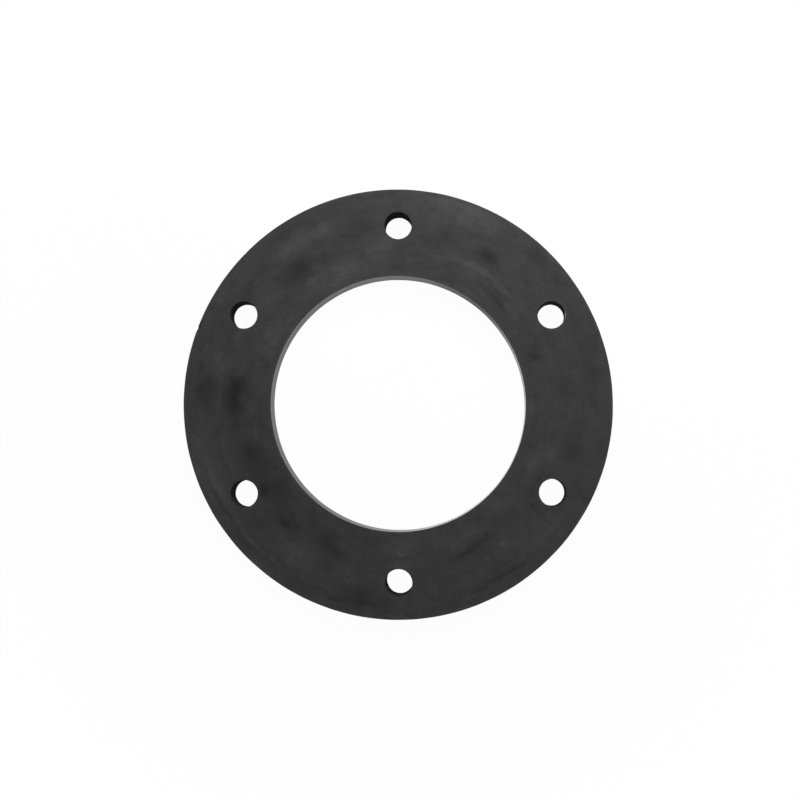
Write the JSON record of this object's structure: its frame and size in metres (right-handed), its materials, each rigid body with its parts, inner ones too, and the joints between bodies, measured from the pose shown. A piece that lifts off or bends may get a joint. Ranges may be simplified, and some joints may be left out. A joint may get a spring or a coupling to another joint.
{
  "type": "rubber flange gasket",
  "caption": "Thick flat ring of black rubber with a large bore and evenly spaced bolt holes, clamped between two pipe flanges to seal them.",
  "frame": {"origin": "centre of the bore, on the underside that the gasket lies on", "axes": "+Z along the bore's axis, from the underside to the upper sealing face; one bolt hole lies on +Y and the opposite one on -Y"},
  "size_m": [0.175, 0.175, 0.01],
  "materials": {
    "black_rubber": "dull, cut from sheet"
  },
  "bodies": {
    "root": {"flange_gasket": "black_rubber"}
  },
  "joints": []
}
